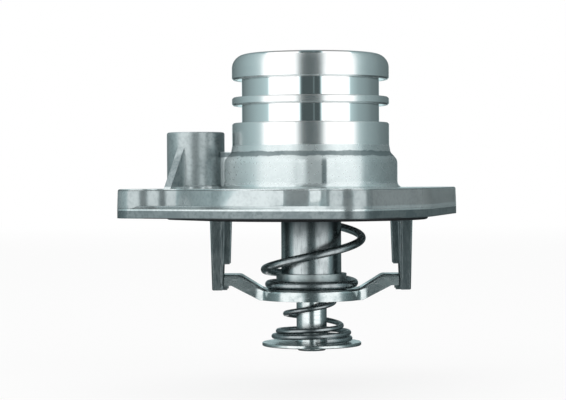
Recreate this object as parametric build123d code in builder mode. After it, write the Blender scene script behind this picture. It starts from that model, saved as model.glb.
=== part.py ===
from build123d import *
from math import acos, atan2, cos, degrees, hypot, pi, radians, sin, tan
import os

os.makedirs("parts", exist_ok=True)

# A coolant thermostat with its cast cover, in millimetres.
# The origin is on the axis of the hose neck, on the flange's mounting face, with Z up the neck.

# Hose neck
housing_height = 38.0
neck_radius = 18.4
neck_bore_radius = 13.5
groove_radius = 16.1
bead_height = 6.0
bead_round = 3.3
groove_height = 4.1
ring_height = 1.9
land_height = 5.2
edge_break = 0.35
neck_mouth_chamfer = 0.8

# Cast body between the neck and the flange
skirt_flare = 0.3
skirt_height = 1.7
body_radius = 20.3
shoulder_height = 1.8
shoulder_hollow = 0.8
shoulder_round = 2.0
body_flare = 1.5
chamber_radius = 18.0
ceiling_wall = 3.0

# Flange and its three bolt ears
flange_thickness = 6.7
ledge_height = 2.2
ledge_setback = 0.9
ledge_edge = 0.05
ledge_bevel = 0.6
ledge_bevel_height = 0.7
flange_draft = 2.0
flange_round = 0.5
flange_radius = 30.4
flange_centre = (-1.9, -2.1)
ledge_heading = -128.0
ear_radius = 6.1
ear_fillet = 5.0
ear_places = ((-38.6, -8.0), (8.1, -31.5), (30.5, 32.6))
bolt_hole_radius = 3.3

# Bracket boss beside the neck, with its web and rib
boss_place = (-27.3, 5.0)
boss_radius = 6.85
boss_height = 20.0
boss_round = 0.5
boss_foot_flare = 0.8
boss_lobe_wall = 1.9
boss_drill_radius = 3.4
boss_drill_depth = 14.0
boss_drill_chamfer = 0.6
web_width = 4.3
web_top = 15.3
rib_thickness = 1.8
rib_heading = -117.0
rib_reach = 13.2
rib_top = 16.3

# Legs that carry the bridge
leg_outer_radius = 23.8
leg_inner_radius = 20.9
leg_width = 11.0
leg_draft = 1.6
leg_rib_radius = 19.0
leg_rib_width = 7.0
leg_rib_length = 11.0
leg_seam = 1.0
toe_reach = 1.0
toe_thickness = 1.0

# Cross bar in the neck that holds the piston
bar_width = 5.0
bar_height = 5.0
bar_gap = 3.7
bar_round = 1.2
bar_hub_radius = 4.6
bar_seam = 1.0
pocket_depth = 2.5

# Gasket in the mounting face
gasket_radius = 27.4
gasket_lobe_radius = 7.0
gasket_width = 2.8
gasket_height = 2.2
gasket_proud = 0.7
gasket_round = 0.6
gasket_clearance = 0.15

# Stamped bridge under the spring
bridge_sheet = 1.0
bridge_seat_depth = 16.8
bridge_rim_height = 2.6
bridge_radius = 12.0
bridge_blend = 3.0
arm_width = 8.6
arm_seat_depth = 13.4
arm_end_height = 2.6
arm_slope_start = 11.0
arm_slope_end = 16.5
arm_skirt_end = 18.6
arm_bend = 2.0
bridge_edge_round = 0.7
arm_end_clearance = 0.15
collar_wall = 0.9
collar_height = 3.5

# Wax element
element_radius = 7.05
element_wall = 1.0
element_bottom_depth = 18.5
element_floor = 3.5
element_bottom_round = 1.2
element_head_radius = 9.0
element_head_height = 5.0
head_shoulder = 1.0
crimp_thickness = 0.8
crimp_reach = 1.5
guide_flange_height = 1.7
guide_neck_radius = 4.2
guide_neck_height = 6.0
guide_round = 0.8
washer_radius = 3.6
washer_height = 0.8
sleeve_wall = 1.0
sleeve_end_gap = 0.6
guide_clearance = 0.3
piston_radius = 2.0
piston_depth = 6.0
piston_tip_chamfer = 0.5
piston_fit = 0.08
sleeve_clearance = 0.3

# Main valve
seat_overlap = 2.0
plate_thickness = 1.0
plate_hub_fit = 0.05
seal_top = 0.9
seal_under = 0.6
seal_lip = 0.5
seal_inner_reach = 2.4
seal_under_reach = 0.8
seal_round = 0.2

# Main spring: turns are counted from the bottom end of the wire
coil_seat_gap = 0.05
coil_running_gap = 0.2
main_wire_radius = 0.95
main_bottom_radius = 9.95
main_middle_radius = 11.9
main_top_radius = 13.0
main_bottom_heading = 150.0
main_foot_turns = 0.58
main_first_rise = 3.0
main_pitch = 15.4
main_open_turns = 2.55
main_turns = 3.35

# Bypass valve
stem_radius = 3.55
spigot_radius = 2.5
spigot_depth = 2.0
stem_end_chamfer = 0.4
stem_end_height = 0.6
disc_radius = 11.62
disc_thickness = 0.8
disc_depth = 29.4
disc_edge_round = 0.2
disc_hole_clearance = 0.3
ring_thickness = 0.6
ring_groove_radius = 3.0
ring_outer_radius = 4.8
ring_gap = 3.2
bypass_wire_radius = 0.62
bypass_bottom_radius = 8.95
bypass_second_radius = 8.7
bypass_middle_radius = 6.9
bypass_top_radius = 5.1
bypass_bottom_heading = -68.0
bypass_foot_turns = 0.35
bypass_second_rise = 1.4
bypass_second_turns = 1.2
bypass_low_rise = 1.7
bypass_low_turns = 1.7
bypass_middle_rise = 2.95
bypass_middle_turns = 2.2
bypass_open_turns = 3.3
bypass_turns = 4.0

# Lengths under this count as touching
touching = 1e-4

# Points along a turn of a coil, and the share of a turn over which its slope changes
points_per_turn = 12
slope_window = 0.25
slope_samples = 9


def polar(radius, heading):
    """The plan position at a radius and a heading in degrees from the X axis."""
    return (radius * cos(radians(heading)), radius * sin(radians(heading)))


def hollow_between(first, second, radius):
    """The disc of a concave corner that touches two convex discs, on the right of the way between them."""
    (x1, y1), r1, _ = first
    (x2, y2), r2, _ = second
    gap = hypot(x2 - x1, y2 - y1)
    reach1 = r1 + radius
    reach2 = r2 + radius
    along = (reach1**2 - reach2**2 + gap**2) / (2 * gap)
    aside = (reach1**2 - along**2) ** 0.5
    ux, uy = (x2 - x1) / gap, (y2 - y1) / gap
    return ((x1 + along * ux + aside * uy, y1 + along * uy - aside * ux), radius, -1)


def tangent_points(first, second):
    """Where a belt leaves the first disc and meets the second; a side of -1 passes inside a disc."""
    (x1, y1), r1, side1 = first
    (x2, y2), r2, side2 = second
    gap = hypot(x2 - x1, y2 - y1)
    lean = (side2 * r2 - side1 * r1) / gap
    heading = atan2(y2 - y1, x2 - x1) - pi / 2 + acos(min(max(lean, -1.0), 1.0))
    left = (-sin(heading), cos(heading))
    leaving = (x1 - side1 * r1 * left[0], y1 - side1 * r1 * left[1])
    meeting = (x2 - side2 * r2 * left[0], y2 - side2 * r2 * left[1])
    if hypot(meeting[0] - leaving[0], meeting[1] - leaving[1]) < touching:
        meeting = leaving
    return leaving, meeting


def belt(discs):
    """Draw a closed outline that runs anticlockwise round the discs, as a belt round pulleys."""
    count = len(discs)
    spans = [tangent_points(discs[i], discs[(i + 1) % count]) for i in range(count)]
    for i, ((cx, cy), radius, side) in enumerate(discs):
        arriving = spans[i - 1][1]
        leaving, next_arriving = spans[i]
        start = atan2(arriving[1] - cy, arriving[0] - cx)
        end = atan2(leaving[1] - cy, leaving[0] - cx)
        middle = start + side * ((side * (end - start)) % (2 * pi)) / 2
        ThreePointArc(arriving, (cx + radius * cos(middle), cy + radius * sin(middle)), leaving)
        if next_arriving != leaving:
            Line(leaving, next_arriving)


def bridge_cross_bend(edge):
    """Whether an edge of the bridge crosses its width, as the ends of its bends do."""
    return abs((edge % 0.5).Y) > 1 - touching and abs((edge @ 0.5).Y) < touching


def inset(discs, amount):
    """The discs of the same outline moved inward by an amount."""
    return [(place, radius - side * amount, side) for place, radius, side in discs]


def between(stations, turn):
    """The value at a turn, on straight runs between stations of (turn, value)."""
    for (start, low), (end, high) in zip(stations, stations[1:]):
        if turn <= end:
            share = (turn - start) / (end - start)
            return low + (high - low) * share
    return stations[-1][1]


def coil_points(heights, radii, start_heading):
    """Points along a coil, smoothed over part of a turn so that its slope never jumps."""
    turns = heights[-1][0]
    count = round(turns * points_per_turn)
    points = []
    for index in range(count + 1):
        turn = turns * index / count
        near = [turn + slope_window * (step / (slope_samples - 1) - 0.5) for step in range(slope_samples)]
        near = [min(max(place, 0.0), turns) for place in near]
        height = sum(between(heights, place) for place in near) / slope_samples
        radius = sum(between(radii, place) for place in near) / slope_samples
        across, deep = polar(radius, start_heading + 360 * turn)
        points.append((across, deep, height))
    return points


# Levels of the neck, from the mouth down
bead_bottom = housing_height - bead_height
ring_top = bead_bottom - groove_height
ring_bottom = ring_top - ring_height
land_top = ring_bottom - groove_height
land_bottom = land_top - land_height
shoulder_top = land_bottom - skirt_height
shoulder_bottom = shoulder_top - shoulder_height
seat_level = shoulder_top - ceiling_wall

# Levels of the valve plate and the element's head under the seat, up to the cross bar
plate_top = seat_level - seal_top
plate_bottom = plate_top - plate_thickness
head_bottom = plate_top
head_top = head_bottom + element_head_height
crimp_bottom = head_top - crimp_thickness
guide_bottom = crimp_bottom - guide_flange_height
guide_top = crimp_bottom + guide_neck_height
bar_bottom = guide_top + bar_gap

# Levels below the flange
bridge_level = -bridge_seat_depth
arm_level = -arm_seat_depth
toe_level = arm_level - arm_end_height
leg_bottom = toe_level - toe_thickness
lobe_radius = boss_radius + boss_lobe_wall

ledge_shift = polar(ledge_setback, ledge_heading)
ledge_centre = (flange_centre[0] + ledge_shift[0], flange_centre[1] + ledge_shift[1])

# Flange outlines: the ledge stands proud of the upper layer between the first two ears
body_disc = (flange_centre, flange_radius, 1)
ledge_disc = (ledge_centre, flange_radius, 1)
lobe_disc = (boss_place, lobe_radius, 1)
disc_a, disc_b, disc_c = [(place, ear_radius, 1) for place in ear_places]
hollow_a = hollow_between(disc_a, body_disc, ear_fillet)
hollow_b = hollow_between(body_disc, disc_b, ear_fillet)

ledge_discs = [disc_a, ledge_disc, disc_b, body_disc, disc_c, body_disc, lobe_disc]
gasket_discs = [((0, 0), gasket_radius, 1), (boss_place, gasket_lobe_radius, 1)]
upper_discs = [disc_a, hollow_a, body_disc, hollow_b, disc_b, body_disc, disc_c, body_disc, lobe_disc]

boss_plane = Plane(origin=(*boss_place, 0), x_dir=(1, 0, 0), z_dir=(0, -1, 0))
boss_axis = Axis((*boss_place, 0), (0, 0, 1))
web_heading = degrees(atan2(-boss_place[1], -boss_place[0]))
web_middle = (boss_place[0] / 2, boss_place[1] / 2)
rib_plane = Plane(
    origin=(*boss_place, 0),
    x_dir=(*polar(1, rib_heading), 0),
    z_dir=(*polar(1, rib_heading - 90), 0),
)

with BuildPart() as housing:
    # Flange: a plain ledge with a bevelled edge below, the drafted upper layer on it
    with BuildSketch():
        with BuildLine():
            belt(ledge_discs)
        make_face()
    extrude(amount=ledge_height)
    with BuildSketch(Plane.XY.offset(ledge_height)):
        with BuildLine():
            belt(inset(ledge_discs, ledge_edge))
        make_face()
    with BuildSketch(Plane.XY.offset(ledge_height + ledge_bevel_height)):
        with BuildLine():
            belt(inset(ledge_discs, ledge_bevel))
        make_face()
    loft(ruled=True)
    with BuildSketch(Plane.XY.offset(ledge_height)):
        with BuildLine():
            belt(upper_discs)
        make_face()
    with BuildSketch(Plane.XY.offset(flange_thickness)):
        with BuildLine():
            belt(inset(upper_discs, (flange_thickness - ledge_height) * tan(radians(flange_draft))))
        make_face()
    loft(ruled=True)
    rim = housing.faces().sort_by(Axis.Z)[-1].outer_wire().edges()
    fillet(rim, radius=flange_round)

    # Neck and cast body, turned in one profile
    with BuildSketch(Plane.XZ) as neck_profile:
        with BuildLine():
            Polyline(
                (0, 0),
                (body_radius, 0),
                (body_radius, shoulder_bottom),
                (neck_radius + skirt_flare, shoulder_top),
                (neck_radius, land_bottom),
                (neck_radius, land_top),
                (groove_radius, land_top),
                (groove_radius, ring_bottom),
                (neck_radius, ring_bottom),
                (neck_radius, ring_top),
                (groove_radius, ring_top),
                (groove_radius, bead_bottom),
                (neck_radius, bead_bottom),
                (neck_radius, housing_height),
                (0, housing_height),
                close=True,
            )
        make_face()
        outer = neck_profile.vertices().filter_by(lambda v: v.X > groove_radius)
        fillet(outer.sort_by(Axis.Y)[-1], radius=bead_round)
        fillet(neck_profile.vertices().sort_by_distance((body_radius, shoulder_bottom))[0], radius=shoulder_round)
        hollow = neck_profile.vertices().sort_by_distance((neck_radius + skirt_flare, shoulder_top))[0]
        fillet(hollow, radius=shoulder_hollow)
        lips = neck_profile.vertices().filter_by(
            lambda v: abs(v.X - neck_radius) < touching and land_top - touching < v.Y < bead_bottom + touching
        )
        chamfer(lips, length=edge_break)
    revolve()

    # Hollow fillet where the body runs into the flange
    with BuildSketch(Plane.XZ):
        with BuildLine():
            CenterArc((body_radius + body_flare, flange_thickness + body_flare), body_flare, 180, 90)
            Polyline(
                (body_radius + body_flare, flange_thickness),
                (body_radius - body_flare, flange_thickness),
                (body_radius - body_flare, flange_thickness + body_flare),
                (body_radius, flange_thickness + body_flare),
            )
        make_face()
    revolve()

    # Bracket boss
    with BuildSketch(boss_plane) as boss_profile:
        with BuildLine():
            Polyline(
                (0, ledge_height),
                (boss_radius + boss_foot_flare, ledge_height),
                (boss_radius + boss_foot_flare, flange_thickness),
                (boss_radius, flange_thickness + boss_foot_flare),
                (boss_radius, boss_height),
                (0, boss_height),
                close=True,
            )
        make_face()
        fillet(boss_profile.vertices().sort_by_distance((boss_radius, boss_height))[0], radius=boss_round)
    revolve(axis=boss_axis)

    # Web from the boss to the body, and the thin rib on the boss's outer side
    with BuildSketch(Plane.XY.offset(ledge_height)):
        with Locations(web_middle):
            Rectangle(hypot(*boss_place), web_width, rotation=web_heading)
    extrude(amount=web_top - ledge_height)
    with BuildSketch(rib_plane):
        with BuildLine():
            Polyline(
                (0, ledge_height),
                (rib_reach, ledge_height),
                (rib_reach, flange_thickness),
                (boss_radius, rib_top),
                (0, rib_top),
                close=True,
            )
        make_face()
    extrude(amount=rib_thickness / 2, both=True)

    # Legs: an outer plate with a stop rib inside, notched for the bridge, with a staked toe
    with BuildSketch():
        Circle(leg_outer_radius)
        Circle(leg_inner_radius, mode=Mode.SUBTRACT)
        Rectangle(4 * leg_outer_radius, leg_width, mode=Mode.INTERSECT)
    extrude(amount=leg_bottom, taper=leg_draft)
    with BuildSketch():
        Circle(leg_inner_radius + leg_seam)
        Circle(leg_rib_radius, mode=Mode.SUBTRACT)
        Rectangle(4 * leg_outer_radius, leg_rib_width, mode=Mode.INTERSECT)
    extrude(amount=-leg_rib_length, taper=leg_draft)
    with BuildSketch(Plane.XY.offset(leg_bottom)):
        Circle(leg_inner_radius + leg_seam)
        Circle(leg_inner_radius - toe_reach, mode=Mode.SUBTRACT)
        Rectangle(4 * leg_outer_radius, leg_rib_width, mode=Mode.INTERSECT)
    extrude(amount=toe_thickness)

    # Chamber, neck bore and the flat valve seat between them
    with BuildSketch(Plane.XZ):
        with BuildLine():
            Polyline(
                (0, -flange_thickness),
                (chamber_radius, -flange_thickness),
                (chamber_radius, seat_level),
                (neck_bore_radius, seat_level),
                (neck_bore_radius, housing_height - neck_mouth_chamfer),
                (neck_bore_radius + neck_mouth_chamfer, housing_height),
                (0, housing_height),
                close=True,
            )
        make_face()
    revolve(mode=Mode.SUBTRACT)

    # Cross bar with the hub and blind pocket that hold the piston
    with BuildSketch(Plane.YZ) as bar_section:
        with Locations((0, bar_bottom + bar_height / 2)):
            RectangleRounded(bar_width, bar_height, bar_round)
    extrude(amount=neck_bore_radius + bar_seam, both=True)
    with BuildSketch(Plane.XY.offset(bar_bottom)):
        Circle(bar_hub_radius)
    extrude(amount=bar_height)
    with BuildSketch(Plane.XY.offset(bar_bottom)):
        Circle(piston_radius + piston_fit)
    extrude(amount=pocket_depth, mode=Mode.SUBTRACT)

    # Bolt holes, the drilled boss and the gasket groove
    with BuildSketch():
        with Locations(*ear_places):
            Circle(bolt_hole_radius)
    extrude(amount=flange_thickness, mode=Mode.SUBTRACT)
    with BuildSketch(Plane.XY.offset(boss_height)):
        with Locations(boss_place):
            Circle(boss_drill_radius)
    extrude(amount=-boss_drill_depth, mode=Mode.SUBTRACT)
    with BuildSketch():
        with BuildLine():
            belt(inset(gasket_discs, -gasket_clearance))
        make_face()
        with BuildLine():
            belt(inset(gasket_discs, gasket_width + gasket_clearance))
        make_face(mode=Mode.SUBTRACT)
    extrude(amount=gasket_height - gasket_proud, mode=Mode.SUBTRACT)
    drill_mouth = housing.edges().filter_by(GeomType.CIRCLE).sort_by_distance((*boss_place, boss_height))[0]
    chamfer(drill_mouth, length=boss_drill_chamfer)

housing.part.label = "housing"
export_step(housing.part, "parts/housing.step")

with BuildPart() as flange_gasket:
    with BuildSketch(Plane.XY.offset(-gasket_proud)):
        with BuildLine():
            belt(gasket_discs)
        make_face()
        with BuildLine():
            belt(inset(gasket_discs, gasket_width))
        make_face(mode=Mode.SUBTRACT)
    extrude(amount=gasket_height)
    bead = flange_gasket.faces().sort_by(Axis.Z)[0].edges()
    fillet(bead, radius=gasket_round)

flange_gasket.part.label = "flange_gasket"
export_step(flange_gasket.part, "parts/flange_gasket.step")

# Bridge: one sheet, its edges turned down all round, with the guide collar drawn upward
arm_end = leg_inner_radius - arm_end_clearance
collar_bore_radius = element_radius + guide_clearance
collar_radius = collar_bore_radius + collar_wall
rim_level = bridge_level - bridge_rim_height
bridge_span = 2 * bridge_radius

with BuildSketch() as bridge_plan:
    Rectangle(2 * bridge_span, arm_width)
    Circle(arm_end, mode=Mode.INTERSECT)
    Circle(bridge_radius)
    roots = bridge_plan.vertices().filter_by(lambda v: abs(v.X) < bridge_radius)
    fillet(roots, radius=bridge_blend)

with BuildSketch() as bridge_side:
    with BuildLine():
        Polyline(
            (-arm_end, arm_level),
            (-arm_slope_end, arm_level),
            (-arm_slope_start, bridge_level),
            (arm_slope_start, bridge_level),
            (arm_slope_end, arm_level),
            (arm_end, arm_level),
            (arm_end, toe_level),
            (arm_skirt_end, toe_level),
            (bridge_radius, rim_level),
            (-bridge_radius, rim_level),
            (-arm_skirt_end, toe_level),
            (-arm_end, toe_level),
            close=True,
        )
    make_face()
    bends = bridge_side.vertices().filter_by(
        lambda v: abs(v.X) < arm_slope_end + touching and v.Y > bridge_level - touching
    )
    fillet(bends, radius=arm_bend)

with BuildSketch() as bridge_hollow_side:
    with BuildLine():
        Polyline(
            (-arm_end, arm_level - bridge_sheet),
            (-arm_slope_end, arm_level - bridge_sheet),
            (-arm_slope_start, bridge_level - bridge_sheet),
            (arm_slope_start, bridge_level - bridge_sheet),
            (arm_slope_end, arm_level - bridge_sheet),
            (arm_end, arm_level - bridge_sheet),
            (arm_end, 2 * rim_level),
            (-arm_end, 2 * rim_level),
            close=True,
        )
    make_face()

with BuildPart() as bridge_cavity:
    with BuildSketch():
        offset(bridge_plan.sketch, amount=-bridge_sheet)
        Rectangle(2 * arm_end, arm_width - 2 * bridge_sheet)
    extrude(amount=-2 * bridge_seat_depth)
    with BuildSketch(Plane.XZ.offset(-bridge_span)):
        add(bridge_hollow_side.sketch)
    extrude(amount=2 * bridge_span, mode=Mode.INTERSECT)

with BuildPart() as bridge:
    with BuildSketch(Plane.XZ.offset(-bridge_span)):
        add(bridge_side.sketch)
    extrude(amount=2 * bridge_span)
    with BuildSketch():
        add(bridge_plan.sketch)
    extrude(amount=-2 * bridge_seat_depth, mode=Mode.INTERSECT)
    top_edges = bridge.faces().filter_by(lambda f: f.normal_at().Z > 0.5).edges()
    outer_edges = top_edges.filter_by(
        lambda e: hypot((e @ 0.5).X, (e @ 0.5).Y) < arm_end - touching and not bridge_cross_bend(e)
    )
    fillet(outer_edges, radius=bridge_edge_round)
    add(bridge_cavity.part, mode=Mode.SUBTRACT)
    with BuildSketch(Plane.XY.offset(bridge_level - bridge_sheet)):
        Circle(collar_radius)
    extrude(amount=bridge_sheet + collar_height)
    with BuildSketch(Plane.XY.offset(bridge_level - bridge_sheet)):
        Circle(collar_bore_radius)
    extrude(amount=bridge_sheet + collar_height, mode=Mode.SUBTRACT)

bridge.part.label = "bridge"
export_step(bridge.part, "parts/bridge.step")

# Levels and radii inside the wax element
cup_bottom = -element_bottom_depth
cavity_floor = cup_bottom + element_floor
cavity_radius = element_radius - element_wall
head_cavity_radius = element_head_radius - element_wall
head_floor = head_bottom + head_shoulder
piston_top = bar_bottom + pocket_depth
piston_bottom = -piston_depth
sleeve_bore_radius = piston_radius + sleeve_clearance
sleeve_radius = sleeve_bore_radius + sleeve_wall
sleeve_bore_bottom = piston_bottom - sleeve_end_gap
sleeve_bottom = sleeve_bore_bottom - sleeve_wall

with BuildPart() as element_cup:
    with BuildSketch(Plane.XZ) as cup_profile:
        with BuildLine():
            Polyline(
                (spigot_radius, cup_bottom),
                (element_radius, cup_bottom),
                (element_radius, head_bottom),
                (element_head_radius, head_bottom),
                (element_head_radius, head_top),
                (head_cavity_radius - crimp_reach, head_top),
                (head_cavity_radius - crimp_reach, crimp_bottom),
                (head_cavity_radius, crimp_bottom),
                (head_cavity_radius, head_floor),
                (cavity_radius, head_floor),
                (cavity_radius, cavity_floor),
                (0, cavity_floor),
                (0, cup_bottom + spigot_depth),
                (spigot_radius, cup_bottom + spigot_depth),
                close=True,
            )
        make_face()
        foot = cup_profile.vertices().sort_by_distance((element_radius, cup_bottom))[0]
        fillet(foot, radius=element_bottom_round)
        lip = cup_profile.vertices().sort_by_distance((element_head_radius, head_top))[0]
        fillet(lip, radius=crimp_thickness)
    revolve()

element_cup.part.label = "element_cup"
export_step(element_cup.part, "parts/element_cup.step")

with BuildPart() as wax_charge:
    with BuildSketch(Plane.XZ):
        with BuildLine():
            Polyline(
                (0, cavity_floor),
                (cavity_radius, cavity_floor),
                (cavity_radius, head_floor),
                (sleeve_radius, head_floor),
                (sleeve_radius, sleeve_bottom),
                (0, sleeve_bottom),
                close=True,
            )
        make_face()
    revolve()

wax_charge.part.label = "wax_charge"
export_step(wax_charge.part, "parts/wax_charge.step")

with BuildPart() as rubber_sleeve:
    with BuildSketch(Plane.XZ):
        with BuildLine():
            Polyline(
                (0, sleeve_bottom),
                (sleeve_radius, sleeve_bottom),
                (sleeve_radius, head_floor),
                (head_cavity_radius, head_floor),
                (head_cavity_radius, guide_bottom),
                (sleeve_bore_radius, guide_bottom),
                (sleeve_bore_radius, sleeve_bore_bottom),
                (0, sleeve_bore_bottom),
                close=True,
            )
        make_face()
    revolve()

rubber_sleeve.part.label = "rubber_sleeve"
export_step(rubber_sleeve.part, "parts/rubber_sleeve.step")

with BuildPart() as seal_washer:
    with BuildSketch(Plane.XY.offset(guide_bottom)):
        Circle(washer_radius)
        Circle(piston_radius + piston_fit, mode=Mode.SUBTRACT)
    extrude(amount=washer_height)

seal_washer.part.label = "seal_washer"
export_step(seal_washer.part, "parts/seal_washer.step")

with BuildPart() as element_guide:
    with BuildSketch(Plane.XZ) as guide_profile:
        with BuildLine():
            Polyline(
                (washer_radius, guide_bottom),
                (head_cavity_radius, guide_bottom),
                (head_cavity_radius, crimp_bottom),
                (guide_neck_radius, crimp_bottom),
                (guide_neck_radius, guide_top),
                (piston_radius + piston_fit, guide_top),
                (piston_radius + piston_fit, guide_bottom + washer_height),
                (washer_radius, guide_bottom + washer_height),
                close=True,
            )
        make_face()
        rim = guide_profile.vertices().sort_by_distance((guide_neck_radius, guide_top))[0]
        fillet(rim, radius=guide_round)
    revolve()

element_guide.part.label = "element_guide"
export_step(element_guide.part, "parts/element_guide.step")

with BuildPart() as piston:
    with BuildSketch(Plane.XY.offset(piston_bottom)):
        Circle(piston_radius)
    extrude(amount=piston_top - piston_bottom)
    chamfer(piston.edges().filter_by(GeomType.CIRCLE), length=piston_tip_chamfer)

piston.part.label = "piston"
export_step(piston.part, "parts/piston.step")

# Main valve: a flat plate under the element's head, with a rubber seal wrapped on its rim
plate_radius = neck_bore_radius + seat_overlap
seal_radius = plate_radius + seal_lip

with BuildPart() as valve_plate:
    with BuildSketch(Plane.XY.offset(plate_bottom)):
        Circle(plate_radius)
        Circle(element_radius + plate_hub_fit, mode=Mode.SUBTRACT)
    extrude(amount=plate_thickness)

valve_plate.part.label = "valve_plate"
export_step(valve_plate.part, "parts/valve_plate.step")

with BuildPart() as valve_seal:
    with BuildSketch(Plane.XZ) as seal_profile:
        with BuildLine():
            Polyline(
                (plate_radius - seal_inner_reach, plate_top),
                (plate_radius, plate_top),
                (plate_radius, plate_bottom),
                (plate_radius - seal_under_reach, plate_bottom),
                (plate_radius - seal_under_reach, plate_bottom - seal_under),
                (seal_radius, plate_bottom - seal_under),
                (seal_radius, seat_level),
                (plate_radius - seal_inner_reach, seat_level),
                close=True,
            )
        make_face()
        outer = seal_profile.vertices().filter_by(lambda v: v.X > seal_radius - touching)
        fillet(outer, radius=seal_round)
    revolve()

valve_seal.part.label = "valve_seal"
export_step(valve_seal.part, "parts/valve_seal.step")

# Main spring: closed end coils on the bridge and under the plate, an open cone between
main_foot = bridge_level + main_wire_radius + coil_seat_gap
main_head = plate_bottom - main_wire_radius - coil_running_gap
main_first_level = main_foot + main_first_rise
main_heights = (
    (0.0, main_foot),
    (main_foot_turns, main_foot),
    (main_foot_turns + 0.5, main_first_level),
    (main_foot_turns + 1.5, main_first_level + main_pitch),
    (main_open_turns, main_head),
    (main_turns, main_head),
)
main_radii = (
    (0.0, main_bottom_radius),
    (main_foot_turns, main_bottom_radius),
    (main_foot_turns + 1.0, main_middle_radius),
    (main_open_turns, main_top_radius),
    (main_turns, main_top_radius),
)
main_points = coil_points(main_heights, main_radii, main_bottom_heading)

with BuildPart() as main_spring:
    with BuildLine() as main_path:
        Spline(*main_points)
    with BuildSketch(Plane(origin=main_path.line @ 0, z_dir=main_path.line % 0)):
        Circle(main_wire_radius)
    sweep(path=main_path.line, is_frenet=True)

main_spring.part.label = "main_spring"
export_step(main_spring.part, "parts/main_spring.step")

# Bypass valve: a stem pressed into the cup, a sliding disc, its spring and a snap ring
disc_top = -disc_depth
disc_bottom = disc_top - disc_thickness
ring_bottom_level = disc_bottom - ring_thickness
stem_bottom = ring_bottom_level - stem_end_height

with BuildPart() as bypass_stem:
    with BuildSketch(Plane.XZ) as stem_profile:
        with BuildLine():
            Polyline(
                (0, stem_bottom),
                (stem_radius, stem_bottom),
                (stem_radius, ring_bottom_level),
                (ring_groove_radius, ring_bottom_level),
                (ring_groove_radius, disc_bottom),
                (stem_radius, disc_bottom),
                (stem_radius, cup_bottom),
                (spigot_radius, cup_bottom),
                (spigot_radius, cup_bottom + spigot_depth),
                (0, cup_bottom + spigot_depth),
                close=True,
            )
        make_face()
        tip = stem_profile.vertices().sort_by_distance((stem_radius, stem_bottom))[0]
        chamfer(tip, length=stem_end_chamfer)
    revolve()

bypass_stem.part.label = "bypass_stem"
export_step(bypass_stem.part, "parts/bypass_stem.step")

with BuildPart() as bypass_disc:
    with BuildSketch(Plane.XY.offset(disc_bottom)):
        Circle(disc_radius)
        Circle(stem_radius + disc_hole_clearance, mode=Mode.SUBTRACT)
    extrude(amount=disc_thickness)
    rim = bypass_disc.edges().filter_by(GeomType.CIRCLE).group_by(SortBy.RADIUS)[-1]
    fillet(rim, radius=disc_edge_round)

bypass_disc.part.label = "bypass_disc"
export_step(bypass_disc.part, "parts/bypass_disc.step")

with BuildPart() as snap_ring:
    with BuildSketch(Plane.XY.offset(ring_bottom_level)):
        Circle(ring_outer_radius)
        Circle(ring_groove_radius, mode=Mode.SUBTRACT)
        with Locations((0, ring_outer_radius)):
            Rectangle(ring_gap, 2 * ring_outer_radius, mode=Mode.SUBTRACT)
    extrude(amount=ring_thickness)

snap_ring.part.label = "snap_ring"
export_step(snap_ring.part, "parts/snap_ring.step")

bypass_foot = disc_top + bypass_wire_radius + coil_running_gap
bypass_head = cup_bottom - bypass_wire_radius - coil_seat_gap
bypass_heights = (
    (0.0, bypass_foot),
    (bypass_foot_turns, bypass_foot),
    (bypass_second_turns, bypass_foot + bypass_second_rise),
    (bypass_low_turns, bypass_foot + bypass_low_rise),
    (bypass_middle_turns, bypass_foot + bypass_middle_rise),
    (bypass_open_turns, bypass_head),
    (bypass_turns, bypass_head),
)
bypass_radii = (
    (0.0, bypass_bottom_radius),
    (bypass_foot_turns, bypass_bottom_radius),
    (bypass_second_turns, bypass_second_radius),
    (bypass_middle_turns, bypass_middle_radius),
    (bypass_open_turns, bypass_top_radius),
    (bypass_turns, bypass_top_radius),
)
bypass_points = coil_points(bypass_heights, bypass_radii, bypass_bottom_heading)

with BuildPart() as bypass_spring:
    with BuildLine() as bypass_path:
        Spline(*bypass_points)
    with BuildSketch(Plane(origin=bypass_path.line @ 0, z_dir=bypass_path.line % 0)):
        Circle(bypass_wire_radius)
    sweep(path=bypass_path.line, is_frenet=True)

bypass_spring.part.label = "bypass_spring"
export_step(bypass_spring.part, "parts/bypass_spring.step")
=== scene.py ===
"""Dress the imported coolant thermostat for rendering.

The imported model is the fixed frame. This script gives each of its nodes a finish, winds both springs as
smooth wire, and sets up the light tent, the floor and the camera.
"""

from __future__ import annotations

import logging
import math
from dataclasses import dataclass, field
from enum import Enum
from typing import Any

import bmesh
import bpy
from mathutils import Matrix, Vector

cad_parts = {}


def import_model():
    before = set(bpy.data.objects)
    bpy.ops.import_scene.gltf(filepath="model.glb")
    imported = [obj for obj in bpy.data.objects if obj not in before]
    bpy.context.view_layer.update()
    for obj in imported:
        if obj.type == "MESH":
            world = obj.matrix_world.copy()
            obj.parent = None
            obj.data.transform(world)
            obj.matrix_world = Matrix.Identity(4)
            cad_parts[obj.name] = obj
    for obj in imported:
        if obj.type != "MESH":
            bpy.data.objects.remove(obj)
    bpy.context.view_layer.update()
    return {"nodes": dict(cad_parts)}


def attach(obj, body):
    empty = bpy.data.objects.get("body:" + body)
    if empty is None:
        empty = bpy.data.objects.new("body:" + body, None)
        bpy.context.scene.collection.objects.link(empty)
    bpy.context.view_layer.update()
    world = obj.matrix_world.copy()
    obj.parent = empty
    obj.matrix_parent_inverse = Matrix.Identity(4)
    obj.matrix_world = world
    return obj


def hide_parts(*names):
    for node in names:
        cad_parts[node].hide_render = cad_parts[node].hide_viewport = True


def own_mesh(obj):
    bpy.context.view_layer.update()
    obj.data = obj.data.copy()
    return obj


LOG = logging.getLogger("thermostat")
MM = 0.001

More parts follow.
